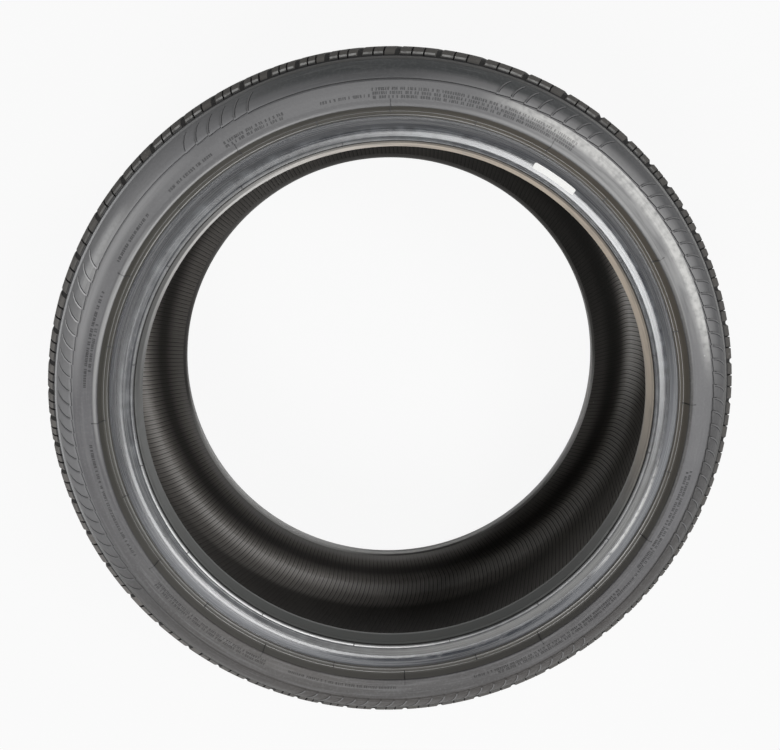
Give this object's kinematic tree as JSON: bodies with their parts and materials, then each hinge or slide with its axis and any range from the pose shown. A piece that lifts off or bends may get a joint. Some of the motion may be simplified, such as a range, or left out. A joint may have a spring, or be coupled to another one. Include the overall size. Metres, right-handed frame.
{
  "type": "car tyre",
  "caption": "Low-profile radial car tyre off its wheel, lying flat: blocked shoulders, rim protector lip, open bead bore and a blank paper label on the bead face.",
  "frame": {"origin": "centre of the tyre's lower face, on the axle line, at the height of the surface that it lies on", "axes": "+Z along the axle line towards the outer sidewall, which lies upwards; +X to the right and +Y upwards in the picture"},
  "size_m": [0.632, 0.6318, 0.232],
  "materials": {
    "rubber": "satin, dusty",
    "label": "blank matt paper"
  },
  "bodies": {
    "root": {"tyre": "rubber", "bead_label": "label"}
  },
  "joints": []
}
